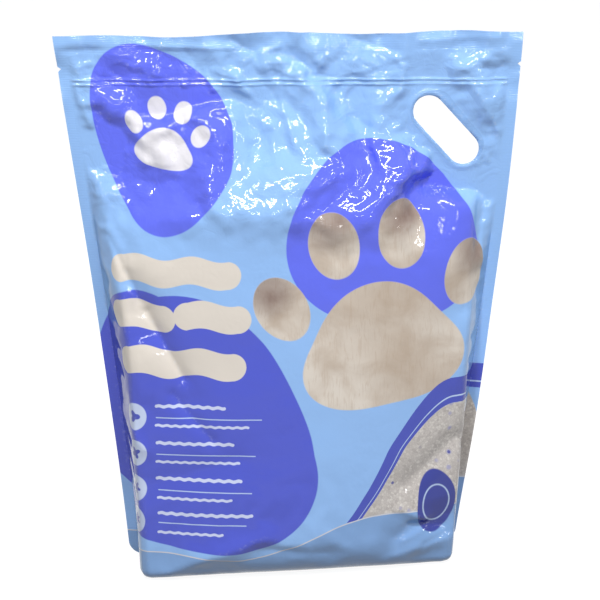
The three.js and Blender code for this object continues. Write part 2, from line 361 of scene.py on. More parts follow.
# Evenly spaced rows, closer together over the press zip and the tear notch
def fine_rows(run):
    length = run[-1]
    zip_at = length - (height - zip_height)
    notch_at = length - notch_drop
    spots = [np.linspace(0, length, round(length / fine_step) + 1)]
    spots.append(np.arange(zip_at - 8, zip_at + 8, 0.7))
    spots.append(notch_at + notch_width * np.array([-0.55, -0.5, -0.25, 0, 0.25, 0.5, 0.55]))
    rows = np.unique(np.round(np.concatenate(spots), 3))
    keep = np.concatenate([[True], np.diff(rows) > 0.3])
    keep[-1] = True
    return rows[keep]


def film_panel(side, folds, creases, seed):
    heights, run = film_run(side, folds)
    coarse_run = np.linspace(0, run[-1], cloth_rows)
    coarse = lay_out(np.interp(coarse_run, run, heights), side, folds, cloth_columns)
    moved = wrinkled(coarse, coarse_run, side, seed, cloth_frames) - coarse[..., :3]
    moved = soften(moved, 1, 0.5)
    rows = fine_rows(run)
    laid = lay_out(np.interp(rows, run, heights), side, folds, fine_columns)
    moved = read_between(moved, 0, rows / run[-1])
    moved = read_between(moved, 1, np.linspace(0, 1, fine_columns))
    share = np.linspace(-1, 1, fine_columns)[None, :]
    z = laid[..., 2]
    head = header_share(z)
    slot = slot_distance(laid[..., 0] - lean_at(z), z)
    reach = mix(belly_reach, header_reach, head)
    moved = reach[..., None] * np.tanh(moved / reach[..., None])
    off_sides = ease(1.0, 0.95, np.abs(share))
    open_film = ease(0, 12, slot - slot_ring) * ease(0, 8, seal_foot - z) * off_sides
    across = share * film_width / 2 + 0 * z
    up = rows[:, None] + 0 * z
    small = crumple_rise * facets(across, up, seed + 20, 4, 32) * mix(0.05, 1.0, head)
    small += fine_crumple_rise * facets(across, up, seed + 40, 5, 13) * mix(0.06, 1.0, head)
    small += fold_rise(creases, laid[..., 0], z)
    zip_line = zip_height + zip_slope * laid[..., 0]
    zip_fade = ease(1.0, 0.985, np.abs(share)) * ease(0, 10, slot - slot_ring)
    ridge = np.zeros_like(z)
    for offset in (-zip_spacing / 2, zip_spacing / 2):
        ridge += np.exp(-(((z - zip_line - offset) / zip_rib_reach) ** 2))
    ring = slot_ring_rise * ease(0, 0.9, slot) * (1 - ease(slot_ring - 1.6, slot_ring + 0.6, slot))
    near_zip = np.exp(-(((z - zip_line) / 7) ** 2))
    places = laid[..., :3] + moved * (1 - 0.5 * near_zip[..., None])
    out = side * (places[..., 1] - laid[..., 3]) + small * open_film
    out = np.maximum(out, half_seal) + zip_rise * ridge * zip_fade + ring
    places[..., 1] = laid[..., 3] + side * out
    return places, laid[..., 3], slot, rows


# The side seals carry on outward from the last columns of the panel, and the last column of all lies on
# the plane between the panels, where the two films end together.
def with_side_seals(places, between, rows, side):
    count = len(rows)
    z = places[:, 0, 2]
    steps = np.append(np.linspace(0, 1, fin_columns + 1)[1:], 1.0)
    notch_at = height - notch_drop
    bite = notch_depth * np.clip(1 - np.abs(z - notch_at) / (notch_width / 2), 0, 1)
    wings = []
    for sign, column in ((-1, 0), (1, -1)):
        start = places[:, column]
        level = start[:, 2]
        half = edge_half_width(level)
        outer = settle(np.stack([sign * half, 0 * half, level], -1))
        wing = np.empty((count, fin_columns + 1, 3))
        for step, share in enumerate(steps):
            reach = np.minimum(share, 1 - bite / side_seal)
            wing[:, step, 0] = mix(start[:, 0], outer[:, 0], reach)
            wing[:, step, 2] = level
            plane = mix(between[:, column], outer[:, 1], reach)
            wing[:, step, 1] = plane + (side * half_seal if step < fin_columns else 0)
        wings.append(wing if sign > 0 else wing[:, ::-1])
    wide = np.concatenate([wings[0], places, wings[1]], axis=1)
    left_plane = wings[0][..., 1] - side * half_seal
    right_plane = wings[1][..., 1] - side * half_seal
    planes = np.concatenate([left_plane, between, right_plane], axis=1)
    planes[:, 0] += side * half_seal
    planes[:, -1] += side * half_seal
    top = wide[-1:].copy()
    top[..., 1] = planes[-1:]
    return np.concatenate([wide, top]), np.concatenate([planes, planes[-1:]])


def film_places(rows):
    half = film_width / 2
    fin = np.linspace(0, side_seal, fin_columns + 1)[1:]
    fin = np.append(fin, side_seal)
    across = np.concatenate([-half - fin[::-1], np.linspace(-half, half, fine_columns), half + fin])
    up = np.append(rows, rows[-1])
    return np.stack(np.broadcast_arrays(across[None, :], up[:, None]), -1)


def to_slot_edge(x, z):
    lean = lean_at(z)
    near_x, near_z = nearest_on_line(x - lean, z, *slot_ends())
    away_x, away_z = x - lean - near_x, z - near_z
    share = slot_width / 2 / np.hypot(away_x, away_z)
    return near_x + lean + away_x * share, near_z + away_z * share


# Cuts the hand slot out of a grid of places: corners close to its edge move onto it, the cells inside
# go, and a strip turns in from the edge to the plane between the panels.
def cut_slot(grid, planes, film):
    rows, columns = grid.shape[:2]
    lean = lean_at(grid[..., 2])
    far = slot_distance(grid[..., 0] - lean, grid[..., 2])
    side = np.sign(far)
    snap = np.zeros((rows, columns), bool)
    for axis in (0, 1):
        one = [slice(None)] * 2
        two = [slice(None)] * 2
        one[axis], two[axis] = slice(0, -1), slice(1, None)
        one, two = tuple(one), tuple(two)
        crossing = side[one] * side[two] < 0
        nearer = np.abs(far[one]) < np.abs(far[two])
        snap[one] |= crossing & nearer
        snap[two] |= crossing & ~nearer
    edge_x, edge_z = to_slot_edge(grid[..., 0], grid[..., 2])
    grid[..., 0] = np.where(snap, edge_x, grid[..., 0])
    grid[..., 2] = np.where(snap, edge_z, grid[..., 2])
    inside = (far < 0) & ~snap
    index = np.arange(rows * columns).reshape(rows, columns)
    cells = np.stack([index[:-1, :-1], index[:-1, 1:], index[1:, 1:], index[1:, :-1]], -1).reshape(-1, 4)
    lost = inside.ravel()[cells]
    on_edge = snap.ravel()
    faces = cells[~lost.any(1) & ~on_edge[cells].all(1)].tolist()
    for cell, gone in zip(cells[lost.any(1)].tolist(), lost[lost.any(1)].tolist()):
        kept = [corner for corner, out in zip(cell, gone) if not out]
        if len(kept) == 3 and not all(on_edge[corner] for corner in kept):
            faces.append(kept)
    rim = {}
    for face in faces:
        for a, b in zip(face, face[1:] + face[:1]):
            if on_edge[a] and on_edge[b]:
                rim[(a, b)] = rim.get((a, b), 0) + 1
    places = grid.reshape(-1, 3)
    film = film.reshape(-1, 2)
    turned, extra, extra_film = {}, [], []
    for a, b in list(rim):
        if (b, a) in rim:
            continue
        for corner in (a, b):
            if corner not in turned:
                turned[corner] = len(places) + len(extra)
                extra.append((places[corner][0], planes.ravel()[corner], places[corner][2]))
                extra_film.append(film[corner])
        faces.append([b, a, turned[a], turned[b]])
    return np.vstack([places, extra]), faces, np.vstack([film, extra_film])


# How sharply the film turns at each corner of the grid, from 0 to 1, for wear along its creases
def crease_marks(places):
    normal = np.cross(np.gradient(places, axis=1), np.gradient(places, axis=0))
    normal /= np.linalg.norm(normal, axis=2, keepdims=True) + 1e-9
    turn_up = np.linalg.norm(np.gradient(normal, axis=0), axis=2)
    turn_across = np.linalg.norm(np.gradient(normal, axis=1), axis=2)
    return np.clip((turn_up + turn_across - 0.10) / 0.35, 0, 1)


def sheet_object(name, places, faces, film, wear):
    mesh = bpy.data.meshes.new(name)
    mesh.from_pydata((places * MM).tolist(), [], faces)
    corners = np.empty(len(mesh.loops), np.int32)
    mesh.loops.foreach_get("vertex_index", corners)
    for label, values in (("film", film * MM), ("wear", wear)):
        layer = mesh.uv_layers.new(name=label)
        layer.data.foreach_set("uv", values[corners].astype(np.float32).ravel())
    mesh.polygons.foreach_set("use_smooth", np.ones(len(mesh.polygons), bool))
    mesh.set_sharp_from_angle(angle=math.radians(55))
    mesh.validate()
    piece = bpy.data.objects.new(name, mesh)
    bpy.context.scene.collection.objects.link(piece)
    return piece


def film_sheet(name, side, folds, creases, seed):
    places, between, slot, rows = film_panel(side, folds, creases, seed)
    grid, planes = with_side_seals(places, between, rows, side)
    marks = crease_marks(grid)
    margins = ((0, 1), (fin_columns + 1, fin_columns + 1))
    ring = np.pad(1 - ease(slot_ring - 1, slot_ring + 1, slot), margins, "edge")
    film = film_places(rows)
    on_seal = np.maximum(ring, ease(seal_foot - 0.5, seal_foot + 0.5, grid[..., 2]))
    on_seal = np.maximum(on_seal, ease(film_width / 2 - 0.5, film_width / 2 + 0.5, np.abs(film[..., 0])))
    wear = np.stack([marks, on_seal], -1).reshape(-1, 2)
    if side > 0:
        film = film * (-1, 1)
    all_places, faces, all_film = cut_slot(grid, planes, film)
    wear = np.vstack([wear, np.zeros((len(all_places) - len(wear), 2))])
    if side > 0:
        faces = [face[::-1] for face in faces]
    return sheet_object(name, all_places, faces, all_film, wear), grid, film


front_folds = [
    ((-129, 430), (-48, 458), 13, -12),
    ((-132, 412), (-66, 430), 14, 6),
    ((-147, 472), (-60, 466), 9, -5),
    ((-195, 452), (-158, 424), 12, 4),
    ((-178, 408), (-150, 352), 13, -6),
    ((-118, 392), (-58, 404), 20, 5),
    ((-40, 452), (-30, 392), 12, -6),
    ((16, 448), (40, 376), 13, 8),
    ((52, 444), (66, 392), 12, -6),
    ((80, 396), (104, 366), 14, 6),
    ((112, 353), (186, 357), 13, -15),
    ((179, 376), (190, 356), 10, -6),
    ((172, 336), (153, 246), 14, -7),
    ((-166, 338), (-138, 232), 13, -7),
    ((-135, 253), (-100, 176), 12, -4),
    ((-60, 340), (40, 330), 26, 4),
    ((-126, 10), (-34, 46), 10, 4),
    ((-40, 34), (30, 26), 10, -3),
    ((91, 34), (136, 50), 10, -5),
    ((96, 20), (136, 30), 8, 4),
    ((98, 84), (146, 122), 11, -6),
    ((-132, 96), (-60, 118), 16, -3),
    ((-152, 400), (-132, 366), 18, -5),
    ((-72, 408), (-78, 366), 13, 5),
    ((-112, 336), (-10, 350), 17, 3),
    ((20, 428), (4, 368), 15, 5),
    ((58, 336), (98, 372), 14, 5),
    ((-22, 392), (-8, 346), 8, 4),
    ((-45, 478), (-22, 462), 7, -4),
    ((-18, 476), (0, 458), 7, 4),
    ((6, 477), (24, 456), 7, -4),
    ((54, 472), (74, 466), 8, -3),
    ((98, 472), (150, 470), 7, -3),
    ((156, 462), (184, 432), 10, 4),
]
# Fine creases that only the film has
front_creases = [
    ((112, 361), (188, 363), 9, -14),
    ((180, 352), (172, 300), 5, -2.5),
    ((-166, 318), (-140, 262), 5, -3),
    ((-134, 252), (-102, 192), 5, -3),
    ((-112, 178), (-78, 136), 6, -2.5),
    ((-158, 152), (-140, 128), 6, 2.5),
    ((94, 64), (118, 50), 5, 3),
    ((104, 46), (136, 40), 4.5, -3),
    ((98, 32), (122, 42), 4, 2.5),
    ((118, 26), (140, 34), 4, -2.5),
    ((-96, 448), (-60, 444), 4, 2),
    ((-128, 442), (-100, 424), 4, -2.5),
    ((-80, 470), (-70, 446), 4, 2),
    ((-52, 472), (-30, 440), 4, -2.5),
    ((-12, 440), (0, 396), 4, 2.5),
    ((30, 440), (26, 398), 4, 2),
    ((-190, 440), (-172, 400), 5, 2.5),
    ((160, 452), (190, 404), 5, 2.5),
    ((172, 390), (192, 372), 4, -2.5),
]
front_panel, front_grid, front_film = film_sheet("front_panel", -1, front_folds, front_creases, 5)
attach(front_panel, "root")
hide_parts("pouch")


# Nodes for the print and the finish of the film
def give(tree, socket, value):
    if isinstance(value, bpy.types.NodeSocket):
        tree.links.new(value, socket)
    elif value is not None:
        socket.default_value = value


def place_node(tree, kind, values, **choices):
    made = tree.nodes.new(kind)
    for label, choice in choices.items():
        setattr(made, label, choice)
    for label, value in values.items():
        give(tree, made.inputs[label], value)
    return made


def maths(tree, operation, *values):
    made = place_node(tree, "ShaderNodeMath", dict(enumerate(values)), operation=operation)
    return made.outputs[0]


def vectors(tree, operation, *values):
    made = place_node(tree, "ShaderNodeVectorMath", dict(enumerate(values)), operation=operation)
    return made.outputs["Value" if operation in ("LENGTH", "DISTANCE") else "Vector"]


def smooth_step(tree, value, low, high):
    made = place_node(
        tree,
        "ShaderNodeMapRange",
        {"Value": value, "From Min": low, "From Max": high},
        interpolation_type="SMOOTHSTEP",
    )
    return made.outputs["Result"]


def parts_of(tree, vector):
    return place_node(tree, "ShaderNodeSeparateXYZ", {0: vector}).outputs


def turned_by(tree, vector, angle):
    values = {"Vector": vector, "Angle": angle}
    return place_node(tree, "ShaderNodeVectorRotate", values, rotation_type="Z_AXIS").outputs[0]


def noise(tree, vector, scale, detail, distortion=0.0):
    values = {"Vector": vector, "Scale": scale, "Detail": detail, "Distortion": distortion}
    return place_node(tree, "ShaderNodeTexNoise", values).outputs[0]


def cells(tree, vector, scale, feature, **more):
    values = {"Vector": vector, "Scale": scale, **more}
    return place_node(tree, "ShaderNodeTexVoronoi", values, feature=feature).outputs


# 1 for rays from the camera, from a reflection or through something clear, which all see plain white
def seen_directly(tree):
    path = tree.nodes.new("ShaderNodeLightPath").outputs
    direct = maths(tree, "MAXIMUM", path["Is Camera Ray"], path["Is Glossy Ray"])
    return maths(tree, "MAXIMUM", direct, path["Is Transmission Ray"])


def node_group(name, inputs, outputs):
    tree = bpy.data.node_groups.new(name, "ShaderNodeTree")
    for label, kind, value in inputs:
        socket = tree.interface.new_socket(label, in_out="INPUT", socket_type="NodeSocket" + kind)
        if value is not None:
            socket.default_value = value
    for label, kind in outputs:
        tree.interface.new_socket(label, in_out="OUTPUT", socket_type="NodeSocket" + kind)
    return tree, tree.nodes.new("NodeGroupInput").outputs, tree.nodes.new("NodeGroupOutput").inputs


def placed(tree, group, **values):
    made = tree.nodes.new("ShaderNodeGroup")
    made.node_tree = group
    for label, value in values.items():
        give(tree, made.inputs[label.replace("_", " ")], value)
    return made.outputs


# A rounded field of ink: an ellipse whose edge swells and shrinks in a few broad lobes
round_field, given, out = node_group(
    "round_field",
    [
        ("Film", "Vector", None),
        ("Centre", "Vector", None),
        ("Half Size", "Vector", None),
        ("Turn", "Float", 0.0),
        ("Lobes", "Float", 2.0),
        ("Lobe Depth", "Float", 0.0),
        ("Edge", "Float", 0.0006),
    ],
    [("Mask", "Float")],
)
tree = round_field
offset = vectors(tree, "SUBTRACT", given["Film"], given["Centre"])
turned = turned_by(tree, offset, given["Turn"])
scaled = vectors(tree, "DIVIDE", turned, given["Half Size"])
apart = parts_of(tree, scaled)
angle = maths(tree, "ARCTAN2", apart["Y"], apart["X"])
swell = maths(tree, "COSINE", maths(tree, "MULTIPLY", angle, given["Lobes"]))
edge = maths(tree, "MULTIPLY_ADD", swell, given["Lobe Depth"], 1.0)
within = maths(tree, "SUBTRACT", edge, vectors(tree, "LENGTH", scaled))
size = parts_of(tree, given["Half Size"])
depth = maths(tree, "MULTIPLY", within, maths(tree, "MINIMUM", size["X"], size["Y"]))
soft = maths(tree, "DIVIDE", depth, given["Edge"])
tree.links.new(smooth_step(tree, soft, -1.0, 1.0), out["Mask"])

# A line of ink with round ends, straight or wavy
ink_line, given, out = node_group(
    "ink_line",
    [
        ("Film", "Vector", None),
        ("Start", "Vector", None),
        ("Turn", "Float", 0.0),
        ("Length", "Float", 0.1),
        ("Thickness", "Float", 0.002),
        ("Wave Height", "Float", 0.0),
        ("Wave Length", "Float", 0.05),
    ],
    [("Mask", "Float")],
)
tree = ink_line
offset = vectors(tree, "SUBTRACT", given["Film"], given["Start"])
turned = turned_by(tree, offset, given["Turn"])
apart = parts_of(tree, turned)
along = maths(tree, "MAXIMUM", maths(tree, "MINIMUM", apart["X"], given["Length"]), 0.0)
phase = maths(tree, "DIVIDE", maths(tree, "MULTIPLY", along, 2 * math.pi), given["Wave Length"])
wave = maths(tree, "MULTIPLY", maths(tree, "SINE", phase), given["Wave Height"])
gap_x = maths(tree, "SUBTRACT", apart["X"], along)
gap_y = maths(tree, "SUBTRACT", apart["Y"], wave)
gap = place_node(tree, "ShaderNodeCombineXYZ", {"X": gap_x, "Y": gap_y}).outputs[0]
gap = vectors(tree, "LENGTH", gap)
inside = maths(tree, "MULTIPLY_ADD", given["Thickness"], 0.5, maths(tree, "MULTIPLY", gap, -1.0))
tree.links.new(smooth_step(tree, inside, -0.0004, 0.0004), out["Mask"])

# All that lies under a shore line, which climbs smoothly from one level to another
under_shore, given, out = node_group(
    "under_shore",
    [
        ("Film", "Vector", None),
        ("Start", "Float", -0.1),
        ("End", "Float", 0.1),
        ("Low Level", "Float", 0.03),
        ("High Level", "Float", 0.06),
        ("Swell", "Float", 0.0),
    ],
    [("Mask", "Float")],
)
tree = under_shore
apart = parts_of(tree, given["Film"])
climb = smooth_step(tree, apart["X"], given["Start"], given["End"])
lift = maths(tree, "SUBTRACT", given["High Level"], given["Low Level"])
level = maths(tree, "MULTIPLY_ADD", climb, lift, given["Low Level"])
roll = maths(tree, "SINE", maths(tree, "MULTIPLY", apart["X"], 2 * math.pi / 0.17))
level = maths(tree, "MULTIPLY_ADD", roll, given["Swell"], level)
under = maths(tree, "SUBTRACT", level, apart["Y"])
tree.links.new(smooth_step(tree, under, -0.0004, 0.0004), out["Mask"])

# The film's surface: granules that press it from behind, small creases, ribs of the heat seals and
# rubbed spots. The height is in millimetres.
film_surface, given, out = node_group(
    "film_surface",
    [("Film", "Vector", None), ("Wear", "Vector", None), ("Fill Level", "Float", 0.35)],
    [("Height", "Float"), ("Roughness", "Float"), ("Pale", "Float")],
)
tree = film_surface
worn = parts_of(tree, given["Wear"])
crease, on_seal = worn["X"], worn["Y"]
apart = parts_of(tree, given["Film"])
level = maths(tree, "SUBTRACT", given["Fill Level"], apart["Y"])
filled = smooth_step(tree, level, -0.02, 0.05)
granules = cells(tree, given["Film"], 210.0, "SMOOTH_F1", Smoothness=0.6)
pressed = smooth_step(tree, noise(tree, given["Film"], 22.0, 2.0), 0.38, 0.68)
knob = maths(tree, "MULTIPLY", maths(tree, "SUBTRACT", 0.6, granules["Distance"]), 0.16)
knobs = maths(tree, "MULTIPLY", maths(tree, "MULTIPLY", knob, pressed), filled)
bends = noise(tree, given["Film"], 48.0, 3.0, 0.8)
ridge = maths(tree, "ABSOLUTE", maths(tree, "SUBTRACT", bends, 0.5))
taut = maths(tree, "MAXIMUM", maths(tree, "MULTIPLY", filled, 0.75), on_seal)
loose = maths(tree, "SUBTRACT", 1.0, taut)
small = maths(tree, "MULTIPLY", maths(tree, "MULTIPLY", ridge, 1.3), loose)
rib = maths(tree, "SINE", maths(tree, "MULTIPLY", apart["Y"], 2 * math.pi / 0.0016))
ribs = maths(tree, "MULTIPLY", maths(tree, "MULTIPLY", rib, 0.03), on_seal)
total = maths(tree, "ADD", maths(tree, "ADD", knobs, small), ribs)
tree.links.new(total, out["Height"])
dull = smooth_step(tree, noise(tree, given["Film"], 9.0, 5.0), 0.42, 0.75)
rough = maths(tree, "MULTIPLY_ADD", dull, 0.07, 0.06)
rough = maths(tree, "MULTIPLY_ADD", on_seal, 0.05, rough)
rough = maths(tree, "MULTIPLY_ADD", crease, 0.05, rough)
tree.links.new(rough, out["Roughness"])
broken = smooth_step(tree, noise(tree, given["Film"], 260.0, 2.0), 0.5, 0.72)
tree.links.new(maths(tree, "MULTIPLY", crease, broken), out["Pale"])


def ink(red, green, blue):
    linear = [((c / 255 + 0.055) / 1.055) ** 2.4 if c > 10 else c / 3295 for c in (red, green, blue)]
    return (*linear, 1.0)


# Where a place of the front, given in millimetres across and up, is on its flat film. The back panel is
# nearly the same size, so its print is placed by this too.
def on_film(x, z):
    away = np.hypot(front_grid[..., 0] - x, front_grid[..., 2] - z)
    row, column = np.unravel_index(np.argmin(away), away.shape)
    return (*(front_film[row, column] * MM), 0.0)


class Print:
    """A film print, built up one ink over the other."""

    def __init__(self, name, ground):
        self.material = bpy.data.materials.new(name)
        self.material.use_nodes = True
        self.tree = self.material.node_tree
        self.shader = self.tree.nodes["Principled BSDF"]
        self.film = place_node(self.tree, "ShaderNodeUVMap", {}, uv_map="film").outputs[0]
        self.wear = place_node(self.tree, "ShaderNodeUVMap", {}, uv_map="wear").outputs[0]
        self.colour = ground

    def lay(self, colour, mask):
        made = place_node(self.tree, "ShaderNodeMix", {0: mask}, data_type="RGBA")
        give(self.tree, made.inputs[6], self.colour)
        give(self.tree, made.inputs[7], colour)
        self.colour = made.outputs[2]

    def field(self, x, z, half_width, half_height, turn=0.0, lobes=2.0, depth=0.0, edge=0.6):
        return placed(
            self.tree,
            round_field,
            Film=self.film,
            Centre=on_film(x, z),
            Half_Size=(half_width * MM, half_height * MM, 1.0),
            Turn=math.radians(-turn),
            Lobes=lobes,
            Lobe_Depth=depth,
            Edge=edge * MM,
        )["Mask"]

    def line(self, x, z, turn, length, thickness, wave=0.0, wave_length=50.0):
        return placed(
            self.tree,
            ink_line,
            Film=self.film,
            Start=on_film(x, z),
            Turn=math.radians(-turn),
            Length=length * MM,
            Thickness=thickness * MM,
            Wave_Height=wave * MM,
            Wave_Length=wave_length * MM,
        )["Mask"]

    def shore(self, start, end, low, high, swell=0.0):
        return placed(
            self.tree,
            under_shore,
            Film=self.film,
            Start=start * MM,
            End=end * MM,
            Low_Level=low * MM,
            High_Level=high * MM,
            Swell=swell * MM,
        )["Mask"]

    def both(self, one, other):
        return maths(self.tree, "MULTIPLY", one, other)

    def without(self, one, other):
        return maths(self.tree, "MULTIPLY", one, maths(self.tree, "SUBTRACT", 1.0, other))

    def faint(self, mask, strength):
        return maths(self.tree, "MULTIPLY", mask, strength)

    def either(self, *masks):
        total = masks[0]
        for mask in masks[1:]:
            total = maths(self.tree, "MAXIMUM", total, mask)
        return total

    def finish(self, fill_level):
        level = fill_level * MM
        surface = placed(self.tree, film_surface, Film=self.film, Wear=self.wear, Fill_Level=level)
        self.lay(pale_blue, self.faint(surface["Pale"], 0.16))
        give(self.tree, self.shader.inputs["Base Color"], self.colour)
        give(self.tree, self.shader.inputs["Roughness"], surface["Roughness"])
        self.shader.inputs["IOR"].default_value = 1.5
        bump = place_node(self.tree, "ShaderNodeBump", {"Height": surface["Height"], "Distance": MM})
        give(self.tree, self.shader.inputs["Normal"], bump.outputs[0])
        return self.material


sky = ink(143, 186, 240)
periwinkle = ink(92, 106, 238)
lower_blue = ink(72, 86, 206)
deep_blue = ink(62, 76, 184)
badge_blue = ink(46, 58, 150)
cream = ink(218, 209, 198)
beige = ink(170, 149, 128)
umber = ink(118, 94, 86)
stone = ink(194, 188, 184)
tide_blue = ink(124, 164, 216)
pale_line = ink(186, 208, 240)
pale_blue = ink(214, 222, 240)
fine_line = ink(205, 214, 244)

# Front print: rounded fields on sky blue, wavy cream bars, a large paw print, small round marks with
# lines, a field of granules under a band, and a wave along the base
front_print = Print("front_print", sky)
art = front_print
upper_field = art.field(-116, 404, 62, 90, turn=10, lobes=3, depth=0.05)
art.lay(periwinkle, upper_field)
art.lay(periwinkle, art.field(82, 318, 96, 84, turn=-24, lobes=3, depth=0.06))
lower_field = art.either(
    art.field(-104, 142, 128, 112, turn=-38, lobes=3, depth=0.08),
    art.field(-142, 160, 76, 112, turn=4),
)
art.lay(lower_blue, lower_field)

# Toes of a paw: places across and up from the pad, in shares of the paw's size, and their tilts
paw_toes = ((-0.58, 0.36, 26), (-0.21, 0.68, 8), (0.21, 0.68, -8), (0.58, 0.36, -26))


def paw(x, z, size, turn):
    swing = math.radians(turn)
    pad = art.field(x, z, 0.38 * size, 0.50 * size, turn=turn + 90, lobes=3, depth=0.10)
    toes, tips = [], []
    for across, up, tilt in paw_toes:
        toe_x = x + size * (across * math.cos(swing) - up * math.sin(swing))
        toe_z = z + size * (across * math.sin(swing) + up * math.cos(swing))
        aim = turn + tilt
        toes.append(art.field(toe_x, toe_z, 0.15 * size, 0.215 * size, turn=aim, depth=0.04))
        tip_x = toe_x - 0.17 * size * math.sin(swing + math.radians(tilt))
        tip_z = toe_z + 0.17 * size * math.cos(swing + math.radians(tilt))
        tips.append(art.field(tip_x, tip_z, 0.15 * size, 0.17 * size, turn=aim, edge=0.09 * size))
    return art.either(pad, *toes), art.either(*toes), art.either(*tips)


whole, toes, tips = paw(80, 214, 150, 8)
shade = smooth_step(art.tree, noise(art.tree, art.film, 26.0, 6.0, 0.5), 0.35, 0.75)
art.lay(cream, whole)
art.lay(beige, art.both(whole, art.faint(shade, 0.65)))
combed = vectors(art.tree, "MULTIPLY", art.film, (420.0, 55.0, 1.0))
strand = smooth_step(art.tree, noise(art.tree, combed, 1.0, 4.0, 1.2), 0.5, 0.68)
art.lay(ink(190, 172, 154), art.both(whole, art.faint(strand, 0.4)))
flank = art.field(104, 196, 44, 22, turn=-30, edge=20)
art.lay(beige, art.both(whole, art.faint(flank, 0.6)))
brow = art.field(86, 262, 62, 30, turn=8, edge=26)
art.lay(beige, art.both(whole, art.faint(brow, 0.55)))
tips = art.both(toes, tips)
art.lay(umber, art.both(tips, maths(art.tree, "MULTIPLY_ADD", shade, 0.3, 0.65)))
small_paw = paw(-116, 394, 52, -12)[0]
art.lay(ink(228, 226, 232), small_paw)

# Wavy bars: where each starts, and its length
bar_thickness = 25
for x, z, length in ((-156, 292, 98), (-158, 251, 42), (-98, 250, 46), (-152, 209, 96)):
    art.lay(ink(219, 211, 201), art.line(x, z, -2, length, bar_thickness, 2.4, 52))

# Round marks with a lobed spot each, and a straight line between two wavy ones beside them
mark_across = -148
for number, z in enumerate((158, 124, 90, 58)):
    art.lay(ink(196, 210, 240), art.field(mark_across, z, 12.0, 12.5))
    spot = art.field(mark_across, z, 4.6, 4.6, turn=30 * number, lobes=3 + number, depth=0.32)
    art.lay(deep_blue, spot)
    art.lay(pale_line, art.line(-128, z, -1, 96 - 6 * number, 0.9))
    art.lay(fine_line, art.line(-128, z + 9, -1, 62 + 7 * number, 3.0, 0.5, 9))
    art.lay(fine_line, art.line(-128, z - 8, -1, 84 - 9 * number, 2.4, 0.4, 8))

lower_right = art.shore(4, 148, 40, 198)
granule_zone = art.both(art.shore(14, 150, 40, 174), art.field(112, 92, 104, 108, lobes=2))
chip_scale = 420.0
chips = cells(art.tree, art.film, chip_scale, "F1")
chip_edges = cells(art.tree, art.film, chip_scale, "DISTANCE_TO_EDGE")
blots = cells(art.tree, art.film, 95.0, "F1")
band = art.without(lower_right, art.shore(14, 150, 40, 174))
art.lay(stone, granule_zone)
tone = parts_of(art.tree, chips["Color"])
pale_chip = art.faint(smooth_step(art.tree, tone["X"], 0.3, 1.0), 0.55)
art.lay(ink(222, 218, 212), art.both(granule_zone, pale_chip))
dim_chip = art.faint(smooth_step(art.tree, tone["Y"], 0.6, 1.0), 0.35)
art.lay(ink(150, 142, 140), art.both(granule_zone, dim_chip))
gaps = maths(art.tree, "SUBTRACT", 1.0, smooth_step(art.tree, chip_edges["Distance"], 0.0, 0.2))
art.lay(ink(140, 132, 128), art.both(granule_zone, art.faint(gaps, 0.22)))
fleck = parts_of(art.tree, blots["Color"])
near = maths(art.tree, "SUBTRACT", 1.0, smooth_step(art.tree, blots["Distance"], 0.12, 0.3))
smudge = art.both(near, smooth_step(art.tree, fleck["X"], 0.62, 0.7))
art.lay(ink(132, 136, 200), art.both(granule_zone, art.faint(smudge, 0.55)))
speck = art.both(
    maths(art.tree, "SUBTRACT", 1.0, smooth_step(art.tree, blots["Distance"], 0.1, 0.18)),
    smooth_step(art.tree, fleck["Y"], 0.84, 0.86),
)
art.lay(ink(62, 68, 150), art.both(granule_zone, art.faint(speck, 0.85)))
art.lay(deep_blue, band)
stripe = art.without(art.shore(14, 150, 44, 181), art.shore(14, 150, 43.2, 179.6))
art.lay(pale_line, art.both(stripe, band))

wave = art.shore(-60, 110, 42, 78, 4)
art.lay(tide_blue, wave)
art.lay(ink(214, 212, 214), art.without(wave, art.shore(-60, 110, 41, 77, 4)))
art.lay(badge_blue, art.field(130, 66, 19, 30, turn=-6, lobes=3, depth=0.05))
ring = art.field(130, 64, 13.5, 18, turn=-6)
art.lay(pale_line, art.without(ring, art.field(130, 64, 12.3, 16.8, turn=-6)))
ring_start, ring_end = slot_ends()
ring_length = math.hypot(*(ring_end - ring_start))
ring_shift = 3.7
ring_width = slot_width + 2 * slot_ring
ring_band = art.line(ring_start[0] + ring_shift, ring_start[1], -48, ring_length, ring_width)
art.lay(ink(120, 160, 212), art.faint(ring_band, 0.45))
front_panel.data.materials.append(art.finish(fill_height + 12))

# Back panel: the same film, printed plainer, with the folds that a hand leaves when it carries the bag
back_folds = [
    ((-162, 392), (-88, 414), 16, -7),
    ((-104, 400), (-106, 362), 14, -5),
    ((-62, 442), (-54, 408), 14, -6),
    ((-2, 442), (2, 408), 13, -6),
    ((10, 388), (42, 344), 15, 6),
    ((42, 424), (100, 370), 12, 5),
    ((-60, 384), (-78, 344), 13, 5),
    ((-28, 384), (-30, 354), 11, -4),
    ((-150, 368), (-130, 326), 13, 4),
    ((88, 436), (138, 352), 12, -5),
    ((138, 352), (188, 352), 12, -5),
    ((-40, 472), (-28, 444), 10, 3),
    ((162, 470), (188, 432), 11, 4),
    ((-160, 320), (-138, 222), 13, -6),
    ((164, 330), (146, 236), 13, -6),
    ((-60, 18), (40, 58), 14, 4),
    ((96, 26), (138, 48), 12, -5),
    ((-136, 44), (-96, 22), 11, -5),
]
back_panel, back_grid, _ = film_sheet("back_panel", 1, back_folds, [], 11)
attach(back_panel, "root")
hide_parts("pouch")
back_print = Print("back_print", sky)
art = back_print
art.lay(periwinkle, art.field(104, 402, 72, 84, turn=-14, lobes=3, depth=0.06))
art.lay(lower_blue, art.field(-88, 190, 104, 122, turn=24, lobes=3, depth=0.08))
